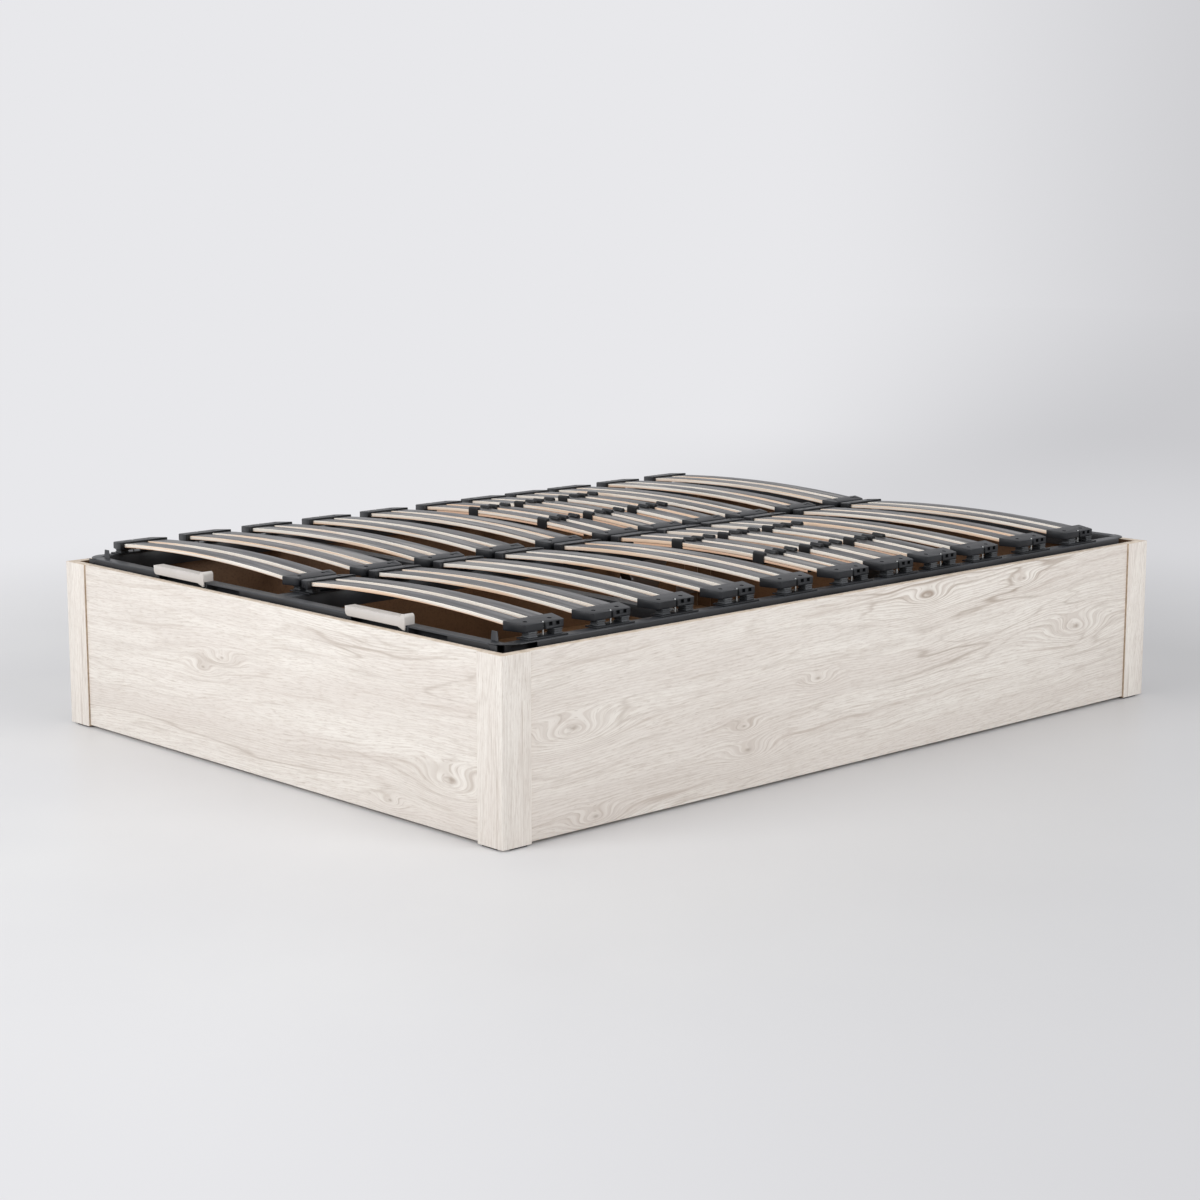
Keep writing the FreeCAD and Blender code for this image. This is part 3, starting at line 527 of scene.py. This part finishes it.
def copy_of(name):
    """A copy of a CAD node's mesh with its seams merged and its flat faces made whole."""
    piece = bpy.data.objects.new(f"{name}_finished", frame["nodes"][name].data.copy())
    bpy.context.scene.collection.objects.link(piece)
    select_only(piece)
    bpy.ops.object.mode_set(mode="EDIT")
    bpy.ops.mesh.select_all(action="SELECT")
    bpy.ops.mesh.remove_doubles(threshold=MERGE)
    bpy.ops.mesh.dissolve_limited(angle_limit=FLAT)
    bpy.ops.object.mode_set(mode="OBJECT")
    return piece


def stand_for(piece, name):
    """Lets a piece take a CAD node's place on its body."""
    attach(piece, frame["nodes"][name]["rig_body"])
    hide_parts(name)
    return piece


def softened(name, ease, steps=2):
    """A copy of a CAD node with rounded edges, which takes the node's place."""
    piece = copy_of(name)
    round_edges(piece, ease, steps)
    bpy.ops.object.shade_smooth_by_angle(angle=SMOOTH)
    return stand_for(piece, name)


def solid_boxes(name):
    """The lowest and highest corners of each separate solid in a CAD node."""
    copy_of(name)
    bpy.ops.object.mode_set(mode="EDIT")
    bpy.ops.mesh.separate(type="LOOSE")
    bpy.ops.object.mode_set(mode="OBJECT")
    boxes = []
    for part in list(bpy.context.selected_objects):
        corners = [Vector(corner) for corner in part.bound_box]
        boxes.append((corners[0], corners[6]))
        bpy.data.objects.remove(part)
    return boxes


def repeat(master, places, name):
    """Joins copies of a modelled piece, set by matrices, into one piece at the origin."""
    bpy.ops.object.select_all(action="DESELECT")
    for place in places:
        twin = bpy.data.objects.new(name, master.data.copy())
        bpy.context.scene.collection.objects.link(twin)
        twin.data.transform(place)
        twin.select_set(True)
    bpy.context.view_layer.objects.active = twin
    bpy.ops.object.join()
    bpy.data.objects.remove(master)
    return twin


def bare_box(size):
    """A box round the origin, as a tool or a start."""
    bpy.ops.object.select_all(action="DESELECT")
    bpy.ops.mesh.primitive_cube_add(size=1)
    box = bpy.context.active_object
    box.scale = size
    bpy.ops.object.transform_apply(location=False, rotation=False, scale=True)
    return box


def bare_drum(width, height, sides):
    """An upright cylinder round the origin, as a tool or a start."""
    bpy.ops.object.select_all(action="DESELECT")
    bpy.ops.mesh.primitive_cylinder_add(vertices=sides, radius=width / 2, depth=height)
    return bpy.context.active_object


def carve(piece, tool):
    """Cuts a tool's shape out of a piece."""
    apply_modifier(piece, "BOOLEAN", object=tool, operation="DIFFERENCE", solver="EXACT")
    bpy.ops.object.shade_smooth_by_angle(angle=SMOOTH)
    bpy.data.objects.remove(tool)


def coat(piece, slot, *finishes):
    """Gives a piece its finishes. The slot is not used."""
    piece.data.materials.clear()
    for finish in finishes:
        piece.data.materials.append(finish.material)
    return piece


def dress(names, ease, slot, finish, steps=2):
    """Rounded copies of CAD nodes, all in one finish."""
    for name in names:
        coat(softened(name, ease, steps), slot, finish)


def mark_faces(piece, number, wanted):
    """Gives the faces that the wanted function accepts the piece's finish of that number."""
    for face in piece.data.polygons:
        if wanted(face):
            face.material_index = number


def end_lay(x, y, z):
    """The places along, across and into a board at the foot or head end."""
    return x, z, y


def side_lay(x, y, z):
    """The places along, across and into a board on a long side."""
    return y, z, x


def post_lay(x, y, z):
    """The places along, across and into a post, with both of its faces in one turn."""
    return z, x + y, x - y


def make_box_boards():
    """Panels and posts: oak outside, a band on top, brown inside, and beige painted shade on post
    ends.
    """
    band = bare_wood("board_top_band", tone(222, 209, 194), tone(200, 183, 164))
    # Painted shade: a darker beige on the posts' narrow ends where they meet the panels.
    return_shade = bare_wood("board_return_shade", tone(196, 175, 152), tone(170, 148, 124))
    back = hardboard("board_back", tone(108, 79, 54), tone(130, 97, 68))
    # Lay and seed of the grain, contrast of its figure, and knots.
    boards = {
        "foot_panel": (end_lay, 3.1, 0.85, FOOT_KNOTS),
        "head_panel": (end_lay, 8.4, 0.85, HEAD_KNOTS),
        "right_side_panel": (side_lay, 5.7, 1.35, RIGHT_KNOTS),
        "left_side_panel": (side_lay, 12.9, 1.35, LEFT_KNOTS),
    }
    posts = ("foot_left_post", "foot_right_post", "head_left_post", "head_right_post")
    for number, name in enumerate(posts):
        boards[name] = (post_lay, POST_SEED + POST_SEED_STEP * number, 1.2, ())
    for name, look in boards.items():
        low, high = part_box(name)
        middle = (low + high) / 2
        inward = Vector((middle.x, middle.y, 0)).normalized() * -1
        board = softened(name, BOARD_EASE)
        coat(board, "bleached_oak", bleached_oak(f"{name}_oak", *look), band, back, return_shade)
        mark_faces(board, BAND, lambda face: face.normal.z > FACING)
        mark_faces(board, BACK, lambda face: face.normal.dot(inward) > INWARD)
        # The posts' narrow ends take the painted shade.
        if name in posts:
            mark_faces(
                board, RETURN_SHADE, lambda face: face.material_index == BACK and face.area < RETURN_AREA
            )


def make_slats():
    """Slats in dark film, with their pale layers on the long edges."""
    film = slat_film()
    edge = slat_edge()
    for name in ("left_slats", "right_slats", "lumbar_slats"):
        slats = softened(name, SLAT_EASE)
        coat(slats, "slat_film", film, edge)
        mark_faces(slats, EDGE, lambda face: abs(face.normal.y) > FACING)


def cap_spots(name, tip_outside):
    """For each cap: its middle along the bed, the side it is on, the distances of its tip and its
    dimples from the bed's middle, and its top at the dimples."""
    for low, high in solid_boxes(name):
        side = math.copysign(1, low.x + high.x)
        inner, outer = sorted((abs(low.x), abs(high.x)))
        tip = outer if tip_outside else inner
        back = -1 if tip_outside else 1
        top = high.z - CAP_SLOPE * (outer - inner - DIMPLE_INSET)
        yield (low.y + high.y) / 2, side, tip, tip + back * DIMPLE_INSET, top


def make_caps():
    """Holder caps with a dimple over each slat end, and square cores in the outer ones' tips."""
    plastic = moulded("holder_plastic", tone(23, 24, 27), tone(41, 43, 47), roughness=0.34)
    for name, tip_outside in (("outer_holder_caps", True), ("middle_holder_caps", False)):
        caps = softened(name, CAP_EASE)
        dimples = []
        cores = []
        for along, side, tip, spot, top in cap_spots(name, tip_outside):
            for half in (-1, 1):
                place = (side * spot, along + half * SLAT_PITCH / 2, top)
                dimples.append(Matrix.Translation(place))
            for reach in CORE_PLACES:
                place = (side * tip, along + side * reach, top - CORE_DROP)
                cores.append(Matrix.Translation(place))
        drum = bare_drum(DIMPLE_ROUND, 2 * DIMPLE_DEPTH, DIMPLE_SIDES)
        carve(caps, repeat(drum, dimples, "dimples"))
        if tip_outside:
            carve(caps, repeat(bare_box(CORE_SIZE), cores, "cores"))
        coat(caps, "holder_anthracite", plastic)
    dress(["holder_bases"], BASE_EASE, "holder_anthracite", plastic)


def ribbed_block(size):
    """A block with three ribs and two waists, round the origin."""
    block = bare_box(size)
    levels = [size.z * (step / BLOCK_LAYERS - 0.5) for step in range(1, BLOCK_LAYERS)]
    bpy.ops.object.mode_set(mode="EDIT")
    for level in levels:
        bpy.ops.mesh.select_all(action="SELECT")
        bpy.ops.mesh.bisect(plane_co=(0, 0, level), plane_no=(0, 0, 1))
    bpy.ops.object.mode_set(mode="OBJECT")
    for vertex in block.data.vertices:
        if any(abs(vertex.co.z - level) < MERGE for level in levels[1::2]):
            vertex.co.x *= RIB_WAIST
            vertex.co.y *= RIB_WAIST
    round_edges(block, BLOCK_EASE, steps=1)
    return block


def make_spring_blocks():
    """Ribbed rubber blocks under the caps."""
    boxes = solid_boxes("spring_blocks")
    low, high = boxes[0]
    places = [Matrix.Translation((box_low + box_high) / 2) for box_low, box_high in boxes]
    blocks = repeat(ribbed_block(high - low), places, "spring_blocks_ribbed")
    stand_for(blocks, "spring_blocks")
    greys = tone(58, 60, 63), tone(94, 96, 99)
    rubber = moulded("spring_rubber", *greys, grain=900.0, roughness=0.4)
    coat(blocks, "spring_rubber", rubber)


def make_pins():
    """The pins that show in the slits of the outer caps."""
    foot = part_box("holder_bases")[1].z
    pins = []
    for along, side, tip, _, top in cap_spots("outer_holder_caps", True):
        pins.append(Matrix.Translation((side * (tip - PIN_INSET), along, (foot + top) / 2)))
    pin = bare_drum(PIN_ROUND, top - foot, PIN_SIDES)
    round_edges(pin, PIN_EASE, steps=1)
    plugs = repeat(pin, pins, "holder_pins")
    bpy.ops.object.shade_smooth_by_angle(angle=SMOOTH)
    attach(plugs, "platform")
    pale_nylon = tone(176, 178, 178), tone(206, 207, 206)
    coat(plugs, "spring_rubber", moulded("pin_nylon", *pale_nylon, grain=600.0, roughness=0.35))


def make_clips():
    """Firmness clips on the lumbar slats."""
    black = moulded("clip_plastic", tone(28, 29, 31), tone(42, 43, 46), roughness=0.34)
    clips = [name for name in frame["nodes"] if "_clip_" in name]
    dress(clips, CLIP_EASE, "clip_black", black, steps=3)


def make_frame():
    """Rails, beams and handles of the lifting platform."""
    steel = powder_coat()
    rails = ("foot_rail", "head_rail", "left_side_rail", "right_side_rail", "frame_corners")
    dress(rails, RAIL_EASE, "anthracite_steel", steel)
    dress(("centre_beam", "cross_bars"), BEAM_EASE, "anthracite_steel", steel)
    greys = tone(204, 199, 195), tone(214, 209, 205)
    grip = moulded("handle_lacquer", *greys, grain=500.0, roughness=0.22)
    dress(("left_handle", "right_handle"), HANDLE_EASE, "handle_grey", grip)


def screw_head():
    """A pan head with a cross slot, round the origin."""
    head = bare_drum(SCREW_ROUND, SCREW_RISE, SCREW_SIDES)
    round_edges(head, SCREW_EASE, steps=2)
    for turn in (0, QUARTER_TURN):
        slot = bare_box(SLOT_SIZE)
        rise = Matrix.Translation((0, 0, SLOT_HEIGHT))
        slot.data.transform(rise @ Matrix.Rotation(turn, 4, "Z"))
        carve(head, slot)
    return head


def bracket_screws():
    """Places of the screws in both legs of each corner bracket."""
    for low, high in solid_boxes("corner_brackets"):
        middle = (low + high) / 2
        side, end = math.copysign(1, middle.x), math.copysign(1, middle.y)
        corner_x = max(abs(low.x), abs(high.x))
        corner_y = max(abs(low.y), abs(high.y))
        sunk = BRACKET_WALL + SCREW_RISE / 2
        for share in BRACKET_SCREWS:
            reach = share * (high.x - low.x)
            on_side = (side * (corner_x - sunk), end * (corner_y - reach), middle.z)
            on_end = (side * (corner_x - reach), end * (corner_y - sunk), middle.z)
            yield Matrix.Translation(on_side) @ Matrix.Rotation(-side * QUARTER_TURN, 4, "Y")
            yield Matrix.Translation(on_end) @ Matrix.Rotation(end * QUARTER_TURN, 4, "X")


def plate_screws():
    """Places of the screws in the lift plates."""
    for name in ("left_lift_plate", "right_lift_plate"):
        low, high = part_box(name)
        size = high - low
        side = math.copysign(1, low.x + high.x)
        wall = max(abs(low.x), abs(high.x)) - PLATE_WALL - SCREW_RISE / 2
        for along, up in PLATE_SCREWS:
            spot = (side * wall, low.y + along * size.y, low.z + up * size.z)
            yield Matrix.Translation(spot) @ Matrix.Rotation(-side * QUARTER_TURN, 4, "Y")


def make_screws(zinc):
    """Screws on the corner brackets and the lift plates."""
    places = [*bracket_screws(), *plate_screws()]
    screws = repeat(screw_head(), places, "fixing_screws")
    bpy.ops.object.shade_smooth_by_angle(angle=SMOOTH)
    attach(screws, "base")
    coat(screws, "zinc_steel", zinc)


def make_inside():
    """What is inside and under the box: floor, fittings and struts."""
    board = hardboard("hardboard", tone(140, 103, 70), tone(164, 123, 86))
    floor_boards = ("foot_floor_board", "head_floor_board")
    dress(floor_boards, FLOOR_BOARD_EASE, "brown_hardboard", board)
    pine = bare_wood("batten_pine", tone(222, 196, 158), tone(198, 166, 124))
    dress(["floor_battens"], BATTEN_EASE, "batten_pine", pine)
    glide = moulded("glide_plastic", tone(24, 24, 25), tone(36, 36, 38))
    dress(["floor_glides"], GLIDE_EASE, "glide_black", glide)
    greys = tone(168, 170, 174), tone(200, 202, 206)
    zinc = brushed("zinc_plate", *greys, along=UPWARD, roughness=0.32)
    plates = ("corner_brackets", "left_lift_plate", "right_lift_plate")
    dress(plates, PLATE_EASE, "zinc_steel", zinc)
    make_screws(zinc)
    blacks = tone(28, 28, 29), tone(42, 42, 43)
    rubber = moulded("buffer_rubber", *blacks, grain=800.0, roughness=0.6)
    dress(["rest_buffers"], BUFFER_EASE, "buffer_rubber", rubber)
    blacks = tone(20, 20, 21), tone(30, 30, 32)
    lacquer = moulded("strut_lacquer", *blacks, grain=700.0, roughness=0.28)
    silvers = tone(214, 216, 219), tone(232, 233, 235)
    chrome = brushed("rod_chrome", *silvers, along=ACROSS_BED, roughness=0.08)
    for side in ("left", "right"):
        dress([f"{side}_strut_tube"], TUBE_EASE, "strut_black", lacquer)
        dress([f"{side}_strut_rod"], ROD_EASE, "rod_chrome", chrome)


def make_floor():
    """A plain pale floor that fades into the backdrop, with painted shade towards the head and
    right.
    """
    bpy.ops.object.select_all(action="DESELECT")
    bpy.ops.mesh.primitive_circle_add(
        vertices=FLOOR_SIDES, radius=FLOOR_RADIUS, fill_type="NGON"
    )
    floor = bpy.context.active_object
    floor.name = "studio_floor"
    finish = Finish("studio_floor")
    x, y, z = finish.place()
    away = (x * x + y * y).root()
    # Painted shade: the floor's colour and the backdrop's glow darken towards the head and right of
    # the bed.
    corner = (x + y) * DIAGONAL
    beyond = away.step(*BEYOND)
    near_dim = corner.step(*NEAR_FALL) * NEAR_DIM * (1 - beyond)
    dim = near_dim + (corner / away).step(*FAR_FALL) * beyond
    cloud = finish.noise(x, y, z, scale=1.2, detail=3.0)
    colour = finish.layered(
        finish.blend(cloud.step(0.3, 0.7), tone(222, 222, 224), tone(227, 227, 228)),
        (dim, DIM_FLOOR),
    )
    satin = finish.shader(base_color=colour, roughness=0.3 + cloud * 0.1, specular_ior_level=0.3)
    glow = finish.blend(dim, BACKDROP, DIM_BACKDROP)
    far = finish.node("Emission", {}, {"Color": glow, "Strength": 1.0})
    finish.close(finish.node("MixShader", {}, {0: away.step(*FADE), 1: satin, 2: far}))
    floor.data.materials.append(finish.material)


def make_lights():
    """Soft square lights that face the middle of the bed."""
    for name, place, power in LIGHTS:
        light = bpy.data.lights.new(name, "AREA")
        light.size = LIGHT_SIZE
        light.energy = power
        lamp = bpy.data.objects.new(name, light)
        lamp.location = place
        lamp.rotation_euler = (LIT_MIDDLE - lamp.location).to_track_quat("-Z", "Y").to_euler()
        bpy.context.scene.collection.objects.link(lamp)


def make_world():
    """The backdrop as it is seen and mirrored, with painted shade towards the head and right, and
    an even ambient light for the rest.
    """
    world = bpy.data.worlds.new("studio")
    bpy.context.scene.world = world
    world.use_nodes = True
    finish = Finish("studio", world.node_tree)
    seen = finish.node("LightPath", {}, {}, "Is Camera Ray")
    mirrored = finish.node("LightPath", {}, {}, "Is Glossy Ray")
    through = finish.node("LightPath", {}, {}, "Is Transmission Ray")
    shown = seen.math("MAXIMUM", mirrored).math("MAXIMUM", through)
    x, y, _ = finish.place("Generated")
    # Painted shade: the backdrop darkens towards the head and right of the bed.
    fall = ((x + y) * DIAGONAL).step(*SKY_FALL)
    bright = finish.node("Background", {}, {"Color": BACKDROP, "Strength": 1.0})
    dim = finish.node("Background", {}, {"Color": DIM_BACKDROP, "Strength": 1.0})
    backdrop = finish.node("MixShader", {}, {0: fall, 1: bright, 2: dim})
    ambient = finish.node("Background", {}, {"Color": WHITE, "Strength": AMBIENT})
    mixed = finish.node("MixShader", {}, {0: shown, 1: ambient, 2: backdrop})
    finish.close(mixed, "OutputWorld")


def make_camera():
    """The photograph's view."""
    data = bpy.data.cameras.new("photo_view")
    data.lens = CAMERA_LENS
    data.sensor_width = FILM_WIDTH
    camera = bpy.data.objects.new("photo_view", data)
    camera.location = CAMERA_PLACE
    camera.rotation_euler = (CAMERA_TILT, 0, CAMERA_TURN)
    bpy.context.scene.collection.objects.link(camera)
    bpy.context.scene.camera = camera


make_box_boards()
make_slats()
make_caps()
make_spring_blocks()
make_pins()
make_clips()
make_frame()
make_inside()
make_floor()
make_lights()
make_world()
make_camera()
bpy.context.scene.view_settings.view_transform = "Standard"
